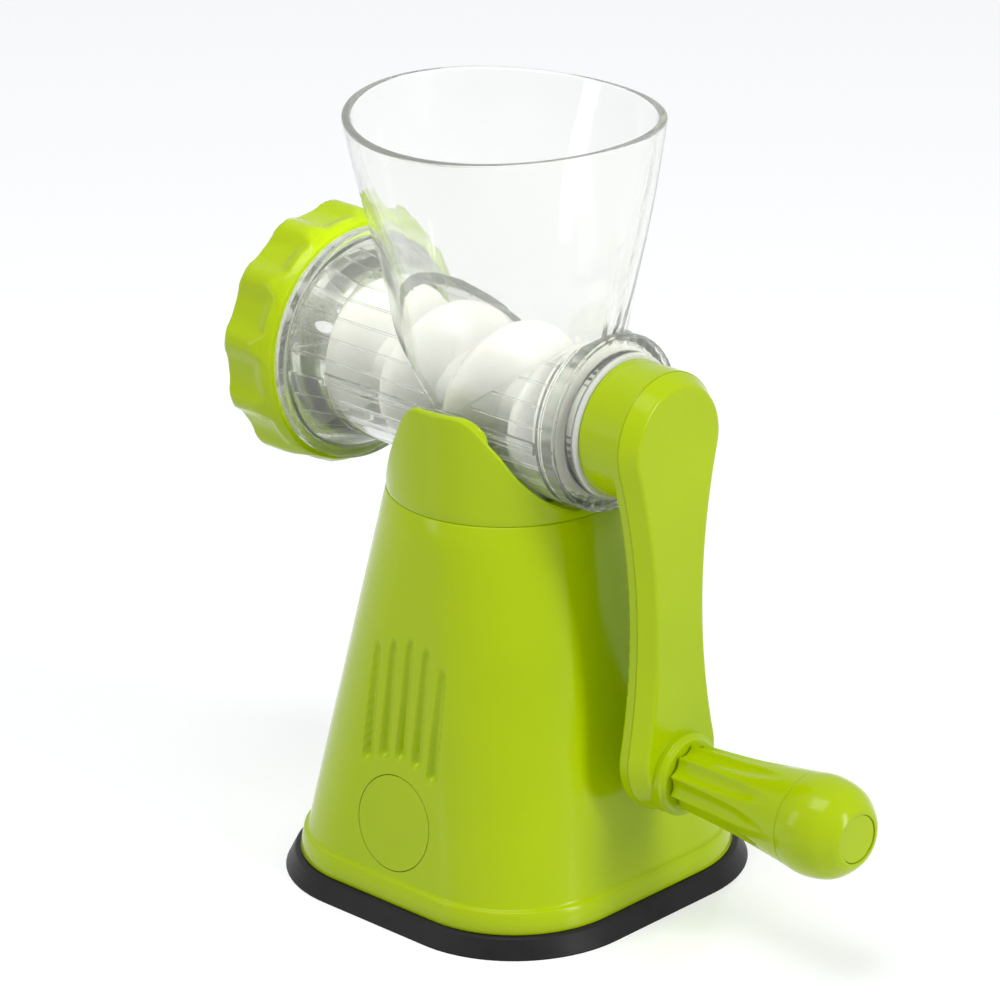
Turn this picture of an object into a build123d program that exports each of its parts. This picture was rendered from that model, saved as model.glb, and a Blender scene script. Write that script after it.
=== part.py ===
from build123d import *
import os
from math import atan2, cos, degrees, hypot, pi, radians, sin, sqrt

# Hand-cranked kitchen grinder on a suction foot.
# Millimetres.  +Z is up and Z = 0 is the table.  The barrel and crank turn about a line
# along X, with the crank at +X and the outlet nut at -X.  The grooved face looks to -Y
# and the suction lever sits on the +Y face.

# ---- foot ----
PAD_HALF = 70.0            # half width of the rubber pad on the table
PAD_CORNER = 45.6          # its corner radius
PAD_FLARE = 3.5            # how much the pad's edge draws in towards its top
PAD_HEIGHT = 6.8
PAD_ROUND = 1.2
PAD_MEMBRANE = 2.6         # rubber left under the suction chamber
PAD_PLUG = 4.4             # width of the rim that stands up inside the shell
SHELL_HALF = 65.0          # half width of the shell just above the pad
SHELL_CORNER = 41.0
BAND_HEIGHT = 7.7          # straight band round the shell's foot
BAND_TAPER = 1.5
BAND_LEDGE = 1.5           # ledge from the band in to the tapered wall
SHELL_WALL = 3.0
SEAM_Z = 140.3             # joint between shell and collar
NECK_R = 41.6              # radius of shell and collar at that joint
DECK_THICK = 3.2
DECK_HOLE_R = 12.0
PLATE_THICK = 3.0
SEAT_STEP = 1.6            # ledge inside the band that the base plate bears on
SEAT_GAP = 0.4
BOSS_R = 5.0
BASE_BOSS_DIAGONAL = 62.0  # distance of the four base bosses from the middle
BASE_BOSS_HEIGHT = 18.0

# ---- grooves and round cover on the -Y face ----
GROOVES = [(-15.2, 51.0, 94.3), (-7.6, 53.6, 96.9), (0.0, 55.0, 98.9),
           (7.6, 54.4, 97.8), (15.2, 51.6, 92.6)]    # x, bottom z, top z
GROOVE_R = 2.6
GROOVE_DEPTH = 1.9
DISC_R = 16.5
DISC_THICK = 1.6
DISC_SEAM = 0.25
DISC_PEG_R = 3.0
LEVER_Z = 33.6             # height of the cam axle and of the round cover

# ---- suction cam, axle and lever ----
AXLE_R = 5.0
RUNNING_FIT = 0.05         # radial clearance of every shaft in its bearing
FREE_GAP = 0.3             # gap between pieces that pass each other
CAM_BASE_R = 9.0
SUCTION_LIFT = 3.2
LEVER_TURN = 90.0
CAM_SPAN = 110.0
CAM_WIDTH = 8.0
STEM_R = 4.0
STUD_R = 9.0
STUD_THICK = 2.5
YOKE_STRAP = 4.0
YOKE_BAR = 3.5
POST_THICK = 5.0
POST_HALF = 10.0
POST_Y = 5.5               # inner face of each bearing post
LEVER_BOSS_R = 16.0
LEVER_HUB_R = 14.5
LEVER_TIP_R = 8.5
LEVER_REACH = 46.0
LEVER_THICK = 8.0
LEVER_FACE_Y = 63.4        # inner face of the lever
CLIP_THICK = 1.0

# ---- collar ----
COLLAR_WALL = 3.2
COLLAR_FLOOR = 2.6
LOBE_RISE = 3.8            # how far the lobes reach above the crank axis
LOBE_FRONT = -6.5          # the lobes' top edge, along X
LOBE_BACK = 18.0
FOOT_FRONT = -28.5         # where the sloping edges of the lobes reach the floor
FOOT_BACK = 42.6
LOBE_ROUND = 4.0
COLLAR_SCREW_R = 35.3      # pitch radius of the collar's screws

# ---- barrel and hopper ----
BARREL_R = 30.5
BARREL_REST = 3.0          # height of the barrel's underside above the seam
BARREL_Z = SEAM_Z + BARREL_REST + BARREL_R         # height of the crank axis
BARREL_WALL = 3.2
BORE_R = BARREL_R - BARREL_WALL
BARREL_REAR = 42.0
RING_R = BARREL_R - 0.2    # faceted ring at the rear end
RING_START = 43.5
RING_END = 50.0
RING_SIDES = 36
REAR_BOSS_R = BARREL_R - 5.5
REAR_BOSS_END = 53.0
REAR_WALL_START = 43.0
BORE_RIBS = 24
RIB_HEIGHT = 0.7
RIB_WIDTH = 0.6
RIDGE_HEIGHT = 4.2         # raised band along the barrel's sides
RIDGE_PROUD = 1.1
THREAD_NECK_R = BARREL_R + 6.7
FLANGE_R = THREAD_NECK_R + 3.4
FLANGE_START = -70.4
FLANGE_THICK = 4.4
CONE_END = -56.0
NECK_END = -86.0
MOUTH_R = THREAD_NECK_R - 3.8                      # counterbore that holds knife and plate
MOUTH_DEPTH = 10.0
HOPPER_X = 1.0
HOPPER_HEIGHT = 97.8       # rim above the crank axis
HOPPER_TOP = BARREL_Z + HOPPER_HEIGHT
HOPPER_WALL = 3.0
HOPPER_SECTIONS = [(0.0, 41.5, BARREL_R + 0.2), (27.2, 45.3, 33.2), (47.2, 49.6, 37.4),
                   (69.2, 53.2, 43.8), (101.2, 55.6, 53.0)]    # rise, half length, half width
RIM_DIP = 2.6              # how far the rim's long sides dip below its ends
RIM_ROUND = 0.9            # rounding of the rim's two edges
FOOT_DISC_R = 29.0
FOOT_DISC_THICK = 3.6
HEAD_SCREW = (14.0, 18.0)

# ---- rear bearing ----
BUSH_R = 13.0
BUSH_FLANGE_R = 16.0
BUSH_FLANGE = 1.5
JOURNAL_R = 10.0
WASHER_R = REAR_BOSS_R - 0.6
WASHER_THICK = 1.5

# ---- auger, shaft and knife ----
AUGER_R = BORE_R - 1.8
AUGER_CORE_R = 12.0
AUGER_LOBE_R = AUGER_R - 7.2
AUGER_PITCH = 30.0
AUGER_FRONT = -77.5
AUGER_REAR = 38.0
AUGER_DISC = 3.6           # round disc behind the last flight
AUGER_DISC_PROUD = 0.4
HEX_FLATS = 12.0
HEX_DEPTH = 26.0
PIN_SQUARE = 9.0
PIN_DEPTH = 20.0
PIN_NOSE_R = 4.0
KNIFE_R = MOUTH_R - 5.4
KNIFE_THICK = 2.4
KNIFE_HUB_R = 9.0
KNIFE_BLADES = 4
ORIFICE_PLATE_R = MOUTH_R - 0.4
ORIFICE_PLATE_THICK = 3.6
ORIFICE_HOLE_R = 2.5
ORIFICE_RINGS = [(11.0, 6), (18.5, 12), (26.0, 18)]
PLATE_KEY = 4.0

# ---- outlet nut ----
NUT_FACE = -92.0
NUT_CREST_R = FLANGE_R + 4.8
NUT_VALLEY_R = FLANGE_R + 1.9
NUT_RIM_R = FLANGE_R + 1.2  # at the edge next to the flange
NUT_SHOULDER = 9.0         # length over which the lobes run out towards that edge
NUT_LOBES = 12
NUT_RIDGE = 0.17           # half a lobe's ridge, as a share of its pitch
NUT_PHASE = -10.0
NUT_OPENING_R = BORE_R + 2.2
GASKET_R = THREAD_NECK_R - 1.7
GASKET_THICK = 1.4

# ---- crank ----
CRANK_REACH = 117.4        # crank axis to grip axis
HUB_R = 23.2
ARM_SEAM = 72.0            # joint between the arm's back and its cover
ARM_BACK_THICK = 4.0
ARM_COVER_THICK = 6.0
ARM_BACK = ARM_SEAM - ARM_BACK_THICK
ARM_FRONT = ARM_SEAM + ARM_COVER_THICK
ARM_END_R = 20.2
ARM_END_UP = 5.8           # the round end's centre sits this far above the grip axis
ARM_WAIST_R = 210.0
ARM_DRAFT = 3.8            # how much the cover's face is smaller than its foot
ARM_WALL = 2.4
ARM_EDGE_ROUND = 1.8
ARM_BOSS_R = 14.4
ARM_BOSS_TOP_R = 12.4
ARM_BOSS_END = ARM_FRONT + 4.0
ARM_POST_R = 4.0
HUB_CAVITY_R = 19.5
SOCKET_R = 12.0

# ---- grip ----
GRIP_START = ARM_BOSS_END + 0.6
SLEEVE_LENGTH = 50.9
CAP_LENGTH = 21.9
GRIP_SEAM = GRIP_START + SLEEVE_LENGTH
GRIP_END = GRIP_SEAM + CAP_LENGTH
GRIP_SMALL_R = 11.3
GRIP_SEAM_R = 16.5
GRIP_MAX_R = 17.3
SLEEVE_SWELL = [(0.24, 12.0), (0.504, 13.1), (0.768, 14.9)]    # share of its length, radius
CAP_DOME = [(0.27, GRIP_MAX_R), (0.5, 16.8), (0.72, 15.2), (0.9, 12.2)]
CAP_END_R = 9.4            # radius of the cap's flat end
GRIP_FLUTES = 10
FLUTE_R = 5.0
FLUTE_DEPTH = 1.5
FLUTE_RUNOUT = 10.0        # the flutes end this far before the cap
PIN_R = 4.0
PIN_HEAD_R = 7.0
PIN_HEAD = 3.0
PIN_WASHER = 1.5
PIN_WASHER_R = 9.5
CAP_SPIGOT = 6.0
PLUG_R = 8.2

# ---- screws ----
SCREW_R = 1.6
SCREW_GAP = 0.1
SCREW_HEAD_R = 3.4
SCREW_HEAD = 2.4

GRIP_Z = BARREL_Z - CRANK_REACH
BAND_TOP = PAD_HEIGHT + BAND_HEIGHT
BODY_HALF = SHELL_HALF - BAND_TAPER - BAND_LEDGE
BODY_CORNER = SHELL_CORNER - BAND_TAPER - BAND_LEDGE
WALL_SLOPE = (BODY_HALF - NECK_R) / (SEAM_Z - BAND_TOP)
PLATE_Z = BAND_TOP - PLATE_THICK
SEAT_HALF = BODY_HALF - SHELL_WALL + SEAT_STEP
SEAT_CORNER = BODY_CORNER - SHELL_WALL + SEAT_STEP
DECK_Z = SEAM_Z - DECK_THICK
FLOOR_Z = SEAM_Z + COLLAR_FLOOR
COLLAR_TOP = BARREL_Z + LOBE_RISE


def wall_y(z):
    """Distance of the tapered wall's flat from the middle at height z."""
    return BODY_HALF - (z - BAND_TOP) * WALL_SLOPE


def block(x0, x1, y0, y1, z0, z1):
    return Pos((x0 + x1) / 2, (y0 + y1) / 2, (z0 + z1) / 2) * Box(x1 - x0, y1 - y0, z1 - z0)


def post(x, y, z0, z1, r):
    """Upright cylinder."""
    return Pos(x, y, (z0 + z1) / 2) * Cylinder(r, z1 - z0)


def rod_x(x0, x1, r, z=BARREL_Z):
    """Cylinder along X."""
    return Pos((x0 + x1) / 2, 0, z) * Rot(0, 90, 0) * Cylinder(r, x1 - x0)


def rod_y(y0, y1, r, x=0.0, z=LEVER_Z):
    """Cylinder along Y."""
    return Pos(x, (y0 + y1) / 2, z) * Rot(90, 0, 0) * Cylinder(r, y1 - y0)


def turned_x(points, z):
    """Solid of revolution about a line along X from (x, radius) points."""
    face = make_face(Plane.XZ * Polyline(*points, close=True))
    return Pos(0, 0, z) * revolve(face, Axis.X, 360)


def rounded(half, corner, z):
    return Pos(0, 0, z) * RectangleRounded(2 * half, 2 * half, corner)


def tapered(low, high):
    """Ruled solid between two rounded squares, each (half, corner, z)."""
    return loft([rounded(*low), rounded(*high)], ruled=True)


def on_face_y(part, x, z, side):
    """Put a part modelled about its own Z axis on the tapered wall, its Z pointing outwards."""
    tilt = degrees(atan2(WALL_SLOPE, 1.0))
    turn = Rot(90 - tilt, 0, 0) if side < 0 else Rot(-90 + tilt, 0, 0)
    return Pos(x, side * wall_y(z), z) * turn * part


def screw_up(x, y, z_head, length):
    """Pan-head screw with its shank pointing up from z_head."""
    shank = post(x, y, z_head - 0.2, z_head + length, SCREW_R)
    head = post(x, y, z_head - SCREW_HEAD, z_head, SCREW_HEAD_R)
    drive = block(x - 2.2, x + 2.2, y - 0.4, y + 0.4, z_head - SCREW_HEAD, z_head - SCREW_HEAD + 1.0)
    cross = block(x - 0.4, x + 0.4, y - 2.2, y + 2.2, z_head - SCREW_HEAD, z_head - SCREW_HEAD + 1.0)
    return head + shank - drive - cross


# ------------------------------------------------------------------ foot

def corner_points(reach):
    return [(sx * reach, sy * reach) for sx in (-1, 1) for sy in (-1, 1)]


BASE_SCREWS = corner_points(BASE_BOSS_DIAGONAL / sqrt(2))
COLLAR_SCREWS = corner_points(COLLAR_SCREW_R / sqrt(2))
HEAD_SCREWS = [(sx * HEAD_SCREW[0], sy * HEAD_SCREW[1]) for sx in (-1, 1) for sy in (-1, 1)]

STUD_Z = PAD_MEMBRANE + FREE_GAP
POCKET_TOP = STUD_Z + STUD_THICK + SUCTION_LIFT + FREE_GAP


def suction_pad():
    lip = tapered((PAD_HALF, PAD_CORNER, 0),
                  (PAD_HALF - PAD_FLARE, PAD_CORNER - PAD_FLARE, PAD_HEIGHT))
    lip = fillet(lip.edges().group_by(Axis.Z)[-1], PAD_ROUND)
    plug_half = SEAT_HALF - SEAT_GAP
    plug_corner = SEAT_CORNER - SEAT_GAP
    plug = extrude(rounded(plug_half, plug_corner, PAD_HEIGHT - 1), PLATE_Z - PAD_HEIGHT + 1)
    hollow = extrude(rounded(plug_half - PAD_PLUG, plug_corner - PAD_PLUG, PAD_MEMBRANE), 20)
    boss = post(0, 0, PAD_MEMBRANE, PLATE_Z - FREE_GAP, STUD_R + 6)
    pocket = post(0, 0, PAD_MEMBRANE, POCKET_TOP, STUD_R + FREE_GAP)
    neck = post(0, 0, PAD_MEMBRANE, PLATE_Z, STEM_R + FREE_GAP)
    return lip + plug - hollow + boss - pocket - neck


def base_plate():
    plate = extrude(rounded(SEAT_HALF - SEAT_GAP, SEAT_CORNER - SEAT_GAP, PLATE_Z), PLATE_THICK)
    guide = post(0, 0, PLATE_Z, WINDOW_Z - YOKE_BAR - FREE_GAP, STEM_R + 4)
    part = plate + guide
    for side in (-1, 1):
        y0 = side * POST_Y
        y1 = side * (POST_Y + POST_THICK)
        part += block(-POST_HALF, POST_HALF, min(y0, y1), max(y0, y1), BAND_TOP - 1, LEVER_Z)
        part += rod_y(min(y0, y1), max(y0, y1), POST_HALF)
        part += block(-2.0, 2.0, min(y1, y1 + side * 12), max(y1, y1 + side * 12),
                      BAND_TOP - 1, LEVER_Z - POST_HALF)
    part -= rod_y(-40, 40, AXLE_R + RUNNING_FIT)
    part -= post(0, 0, 0, LEVER_Z, STEM_R + RUNNING_FIT)
    for x, y in BASE_SCREWS:
        part -= post(x, y, 0, 40, SCREW_R + SCREW_GAP)
    return part


def pedestal_shell():
    band = tapered((SHELL_HALF, SHELL_CORNER, PAD_HEIGHT),
                   (SHELL_HALF - BAND_TAPER, SHELL_CORNER - BAND_TAPER, BAND_TOP))
    body = tapered((BODY_HALF, BODY_CORNER, BAND_TOP), (NECK_R, NECK_R - 0.3, SEAM_Z))
    seat = extrude(rounded(SEAT_HALF, SEAT_CORNER, PAD_HEIGHT), BAND_HEIGHT)
    inside = tapered((BODY_HALF - SHELL_WALL, BODY_CORNER - SHELL_WALL, BAND_TOP),
                     (NECK_R - SHELL_WALL, NECK_R - SHELL_WALL - 0.3, DECK_Z))
    outer = band + body
    shell = outer - seat - inside
    lever_boss = rod_y(wall_y(LEVER_Z) - SHELL_WALL - 3, LEVER_FACE_Y - FREE_GAP, LEVER_BOSS_R)
    shell += lever_boss
    for x, y in BASE_SCREWS:
        tower = post(x, y, BAND_TOP, BAND_TOP + BASE_BOSS_HEIGHT, BOSS_R) & body
        shell += tower
        shell -= post(x, y, BAND_TOP, BAND_TOP + BASE_BOSS_HEIGHT - 3, SCREW_R + SCREW_GAP)
    shell -= rod_y(0, 80, AXLE_R + FREE_GAP)
    for x, y in COLLAR_SCREWS + HEAD_SCREWS:
        shell -= post(x, y, DECK_Z, SEAM_Z, SCREW_R + 0.4)
    shell -= post(0, 0, DECK_Z, SEAM_Z, DECK_HOLE_R)
    for x, low, high in GROOVES:
        shell -= groove(x, low, high)
    shell -= on_face_y(post(0, 0, -DISC_THICK, 5, DISC_R + DISC_SEAM), 0, LEVER_Z, -1)
    shell -= on_face_y(post(0, 0, -10, 5, DISC_PEG_R), 0, LEVER_Z, -1)
    return shell


def groove(x, low, high):
    """Round-ended cutter sunk to GROOVE_DEPTH along the -Y wall from height low to high."""
    lift = GROOVE_R - GROOVE_DEPTH
    start = Vector(x, -wall_y(low + GROOVE_R) - lift, low + GROOVE_R)
    end = Vector(x, -wall_y(high - GROOVE_R) - lift, high - GROOVE_R)
    span = end - start
    middle = start + span * 0.5
    barrel = Plane(origin=middle, z_dir=span) * Cylinder(GROOVE_R, span.length)
    return barrel + Pos(start) * Sphere(GROOVE_R) + Pos(end) * Sphere(GROOVE_R)


def side_cover_disc():
    disc = post(0, 0, -DISC_THICK, 0, DISC_R) + post(0, 0, -DISC_THICK - 3, -DISC_THICK, DISC_PEG_R)
    return on_face_y(disc, 0, LEVER_Z, -1)


# ------------------------------------------------------------------ suction cam

LIFT_RATE = SUCTION_LIFT / radians(LEVER_TURN)     # mm per radian, the same at every angle
CAM_MAX_R = CAM_BASE_R + LIFT_RATE * radians(CAM_SPAN)
CAM_TOP = LEVER_Z + CAM_BASE_R + LIFT_RATE ** 2 / (2 * CAM_BASE_R)
WINDOW_Z = LEVER_Z - CAM_MAX_R - FREE_GAP
WINDOW_HALF = CAM_MAX_R + 0.5


def cam_outline():
    """Snail whose radius grows evenly with the angle, measured from +Z towards -X."""
    spiral = []
    steps = 6
    for i in range(steps + 1):
        turn = radians(CAM_SPAN) * i / steps
        r = CAM_BASE_R + LIFT_RATE * turn
        spiral.append((-r * sin(turn), r * cos(turn)))
    back = radians(CAM_SPAN)
    half_way = (back + 2 * pi) / 2
    heel = (-CAM_BASE_R * sin(back), CAM_BASE_R * cos(back))
    middle = (-CAM_BASE_R * sin(half_way), CAM_BASE_R * cos(half_way))
    rise = Spline(*spiral)
    step = Line(spiral[-1], heel)
    round_back = ThreePointArc(heel, middle, spiral[0])
    return rise + step + round_back


def cam_axle():
    end_y = LEVER_FACE_Y + LEVER_THICK - 2.0
    axle = rod_y(-POST_Y - POST_THICK - 1.5, LEVER_FACE_Y - FREE_GAP, AXLE_R)
    square = block(-3.5, 3.5, LEVER_FACE_Y - FREE_GAP - 1, end_y, LEVER_Z - 3.5, LEVER_Z + 3.5)
    cam_face = make_face(Plane.XZ * cam_outline())
    cam = Pos(0, CAM_WIDTH / 2, LEVER_Z) * extrude(cam_face, CAM_WIDTH)
    clip_y = POST_Y + POST_THICK + FREE_GAP
    slot = rod_y(clip_y, clip_y + CLIP_THICK, AXLE_R + 2) - rod_y(0, 30, AXLE_R - 1.2)
    hole = rod_y(end_y - 10, end_y, SCREW_R + SCREW_GAP)
    return axle + square + cam - slot - hole


def axle_clip():
    clip_y = POST_Y + POST_THICK + FREE_GAP
    ring = rod_y(clip_y + 0.05, clip_y + CLIP_THICK - 0.05, AXLE_R + 2.5)
    ring -= rod_y(0, 30, AXLE_R - 1.2)
    return ring - block(-3.0, 3.0, 0, 30, LEVER_Z, LEVER_Z + 20)


def suction_stem():
    top = CAM_TOP + FREE_GAP
    outer = WINDOW_HALF + YOKE_STRAP
    half_w = CAM_WIDTH / 2
    frame = block(-outer, outer, -half_w, half_w, WINDOW_Z - YOKE_BAR, top + YOKE_BAR)
    frame -= block(-WINDOW_HALF, WINDOW_HALF, -10, 10, WINDOW_Z, top)
    frame = fillet(frame.edges().filter_by(Axis.Y).group_by(Axis.Z)[-1], 2.5)
    stem = post(0, 0, STUD_Z + STUD_THICK - 0.5, WINDOW_Z - YOKE_BAR + 0.5, STEM_R)
    head = post(0, 0, STUD_Z, STUD_Z + STUD_THICK, STUD_R)
    return frame + stem + head


def suction_lever():
    hub = Pos(0, LEVER_Z) * Circle(LEVER_HUB_R)
    tip = Pos(-LEVER_REACH, LEVER_Z) * Circle(LEVER_TIP_R)
    outline = make_hull(hub.edges() + tip.edges())
    blade = Pos(0, LEVER_FACE_Y + LEVER_THICK, 0) * extrude(Plane.XZ * outline, LEVER_THICK)
    rim = blade.edges().group_by(Axis.Y)[-1]
    blade = fillet(rim, 2.0)
    blade -= block(-3.55, 3.55, LEVER_FACE_Y - 1, LEVER_FACE_Y + LEVER_THICK - 1.9,
                   LEVER_Z - 3.55, LEVER_Z + 3.55)
    blade -= rod_y(60, 90, SCREW_R + 0.3)
    blade -= rod_y(LEVER_FACE_Y + LEVER_THICK - 1.0, 90, SCREW_HEAD_R + 0.2)
    scoop_x = -LEVER_REACH + 2
    blade -= Pos(scoop_x, LEVER_FACE_Y + LEVER_THICK + 14.0, LEVER_Z) * Sphere(16.0)
    return blade


def lever_screw():
    face_y = LEVER_FACE_Y + LEVER_THICK - 1.0
    screw = rod_y(face_y, face_y + 2.0, SCREW_HEAD_R) + rod_y(face_y - 9.0, face_y + 0.2, SCREW_R)
    slot = block(-2.4, 2.4, face_y + 1.0, face_y + 3, LEVER_Z - 0.4, LEVER_Z + 0.4)
    cross = block(-0.4, 0.4, face_y + 1.0, face_y + 3, LEVER_Z - 2.4, LEVER_Z + 2.4)
    return screw - slot - cross


# ------------------------------------------------------------------ collar

def saddle_collar():
    tube = post(0, 0, SEAM_Z, COLLAR_TOP + 5, NECK_R)
    tube -= post(0, 0, FLOOR_Z, COLLAR_TOP + 6, NECK_R - COLLAR_WALL)
    tube -= post(0, 0, SEAM_Z - 1, FLOOR_Z + 1, FOOT_DISC_R + FREE_GAP)
    for x, y in COLLAR_SCREWS:
        tube += post(x, y, FLOOR_Z - 1, FLOOR_Z + 8, 4.0)
    side = [(FOOT_FRONT - 25, SEAM_Z - 5), (FOOT_FRONT - 25, FLOOR_Z), (FOOT_FRONT, FLOOR_Z),
            (LOBE_FRONT, COLLAR_TOP), (LOBE_BACK, COLLAR_TOP), (FOOT_BACK, FLOOR_Z),
            (FOOT_BACK + 25, FLOOR_Z), (FOOT_BACK + 25, SEAM_Z - 5)]
    outline = FilletPolyline(*side, radius=LOBE_ROUND, close=True)
    profile = extrude(make_face(Plane.XZ * outline), 60, both=True)
    tube &= profile
    tube -= rod_x(-90, 90, BARREL_R + RIDGE_PROUD + FREE_GAP)
    for x, y in COLLAR_SCREWS:
        tube -= post(x, y, SEAM_Z - 1, FLOOR_Z + 6, SCREW_R + SCREW_GAP)
    return tube


# ------------------------------------------------------------------ barrel and hopper

def hopper_body(shrink):
    sections = []
    for rise, half_x, half_y in HOPPER_SECTIONS:
        outline = Ellipse(half_x - shrink, half_y - shrink)
        sections.append(Pos(HOPPER_X, 0, BARREL_Z + rise) * outline)
    return loft(sections)


def barrel_hopper():
    flange_end = FLANGE_START + FLANGE_THICK
    mouth_end = NECK_END + MOUTH_DEPTH
    shape = [(NECK_END, 0), (NECK_END, THREAD_NECK_R), (FLANGE_START, THREAD_NECK_R),
             (FLANGE_START, FLANGE_R), (flange_end, FLANGE_R), (flange_end, THREAD_NECK_R),
             (CONE_END, BARREL_R), (BARREL_REAR, BARREL_R), (BARREL_REAR, BARREL_R - 1.2),
             (RING_START, BARREL_R - 1.2), (RING_END, BARREL_R - 1.2), (RING_END, REAR_BOSS_R),
             (REAR_BOSS_END, REAR_BOSS_R), (REAR_BOSS_END, 0)]
    tube = turned_x(shape, BARREL_Z)
    facets = Plane.YZ * RegularPolygon(RING_R, RING_SIDES)
    tube += Pos(RING_START, 0, BARREL_Z) * extrude(facets, RING_END - RING_START - 1.0)
    for side in (-1, 1):
        y0 = side * (BARREL_R - 2)
        y1 = side * (BARREL_R + RIDGE_PROUD)
        tube += block(CONE_END, BARREL_REAR, min(y0, y1), max(y0, y1),
                      BARREL_Z - RIDGE_HEIGHT, BARREL_Z)
    foot = post(0, 0, SEAM_Z, BARREL_Z - BORE_R - 1, FOOT_DISC_R)
    foot -= post(0, 0, SEAM_Z + FOOT_DISC_THICK, BARREL_Z, FOOT_DISC_R + 1)
    for x, y in HEAD_SCREWS:
        foot += post(x, y, SEAM_Z, BARREL_Z - BARREL_R * 0.66, BOSS_R)
    tube += foot
    tube += hopper_body(0)

    bore_face = Circle(BORE_R)
    for i in range(BORE_RIBS):
        angle = 360 / BORE_RIBS * i + 7.5
        bore_face -= Rot(0, 0, angle) * Pos(BORE_R, 0) * Rectangle(2 * RIB_HEIGHT, RIB_WIDTH)
    bore = extrude(Plane.YZ * bore_face, REAR_WALL_START - mouth_end)
    tube -= Pos(mouth_end, 0, BARREL_Z) * bore
    tube -= rod_x(NECK_END - 1, mouth_end, MOUTH_R)
    tube -= rod_x(REAR_WALL_START - 1, REAR_BOSS_END + 1, BUSH_R)
    tube -= rod_x(REAR_WALL_START - 1, REAR_WALL_START + BUSH_FLANGE, BUSH_FLANGE_R)
    tube -= hopper_body(HOPPER_WALL)
    for x, y in HEAD_SCREWS:
        tube -= post(x, y, SEAM_Z, SEAM_Z + 7.5, SCREW_R + SCREW_GAP)
    half = HOPPER_SECTIONS[-1][1]
    dip_r = (half ** 2) / (2 * RIM_DIP)
    top = block(-90, 110, -70, 70, HOPPER_TOP - 20, HOPPER_TOP + 30)
    bowl = rod_y(-80, 80, dip_r, x=HOPPER_X, z=HOPPER_TOP - RIM_DIP + dip_r)
    tube -= top & bowl
    rim = [edge for edge in tube.edges() if edge.center().Z > HOPPER_TOP - 2 * RIM_DIP]
    tube = fillet(rim, RIM_ROUND)
    tube += plate_key(0)
    return tube


def plate_key(grow):
    """Rib in the mouth's floor that stops the plate from turning."""
    half = PLATE_KEY / 2 + grow
    depth = 2.0 + grow
    rib = block(NECK_END, NECK_END + 3, -half, half,
                BARREL_Z - MOUTH_R - 1, BARREL_Z - MOUTH_R + depth)
    return rib


# ------------------------------------------------------------------ rear bearing

def rear_bush():
    bush = rod_x(REAR_WALL_START, REAR_BOSS_END, BUSH_R - RUNNING_FIT)
    bush += rod_x(REAR_WALL_START, REAR_WALL_START + BUSH_FLANGE, BUSH_FLANGE_R - 0.1)
    return bush - rod_x(REAR_WALL_START - 1, REAR_BOSS_END + 1, JOURNAL_R + RUNNING_FIT)


def thrust_washer():
    washer = rod_x(REAR_BOSS_END, REAR_BOSS_END + WASHER_THICK, WASHER_R)
    return washer - rod_x(REAR_BOSS_END - 1, REAR_BOSS_END + 3, JOURNAL_R + 1.0)


# ------------------------------------------------------------------ auger, shaft, knife, plate

def hex_bar(x0, x1, flats):
    face = Plane.YZ * RegularPolygon(flats / 2, 6, major_radius=False)
    return Pos(x0, 0, BARREL_Z) * extrude(face, x1 - x0)


def square_bar(x0, x1, side):
    return block(x0, x1, -side / 2, side / 2, BARREL_Z - side / 2, BARREL_Z + side / 2)


def auger():
    length = AUGER_REAR - AUGER_FRONT
    offset = AUGER_R - AUGER_LOBE_R
    section = Circle(AUGER_CORE_R) + Pos(0, offset) * Circle(AUGER_LOBE_R)
    turn = -360.0 * length / AUGER_PITCH      # left-handed, so it feeds towards -X
    wire = section.faces()[0].outer_wire()
    path = Vector(0, 0, length)
    screw = Solid.extrude_linear_with_rotation(wire, (0, 0, 0), path, turn)
    body = Pos(AUGER_FRONT, 0, BARREL_Z) * Rot(0, 90, 0) * screw
    body += rod_x(AUGER_REAR, AUGER_REAR + AUGER_DISC, AUGER_R + AUGER_DISC_PROUD)
    body += rod_x(AUGER_REAR, REAR_BOSS_END, JOURNAL_R)
    body -= hex_bar(REAR_BOSS_END - HEX_DEPTH, REAR_BOSS_END + 1, HEX_FLATS)
    return body - square_bar(AUGER_FRONT - 1, AUGER_FRONT + PIN_DEPTH, PIN_SQUARE)


RING_GROOVE = 2.4                              # groove for the O-ring near the shaft's end
RING_GROOVE_X = ARM_BACK - 4.5
RING_GROOVE_R = HEX_FLATS / 2 - 1.2


def hex_shaft():
    bar = hex_bar(REAR_BOSS_END - HEX_DEPTH, ARM_BACK - 0.5, HEX_FLATS)
    core = rod_x(RING_GROOVE_X - 1, RING_GROOVE_X + 4, RING_GROOVE_R)
    return bar - (rod_x(RING_GROOVE_X, RING_GROOVE_X + RING_GROOVE, HEX_FLATS) - core)


def shaft_o_ring():
    ring = rod_x(RING_GROOVE_X + 0.1, RING_GROOVE_X + RING_GROOVE - 0.1, HEX_FLATS / 2 + 0.4)
    return ring - rod_x(RING_GROOVE_X - 1, RING_GROOVE_X + 4, RING_GROOVE_R)


PLATE_IN = NECK_END + 2.0                      # inner face of the orifice plate
PLATE_OUT = PLATE_IN - ORIFICE_PLATE_THICK


def knife_spindle():
    nose = rod_x(PLATE_OUT, PLATE_IN, PIN_NOSE_R)
    return nose + square_bar(PLATE_IN + FREE_GAP, AUGER_FRONT + PIN_DEPTH, PIN_SQUARE) \
        + rod_x(PLATE_IN - 0.5, PLATE_IN + FREE_GAP + 0.5, PIN_NOSE_R)


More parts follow.
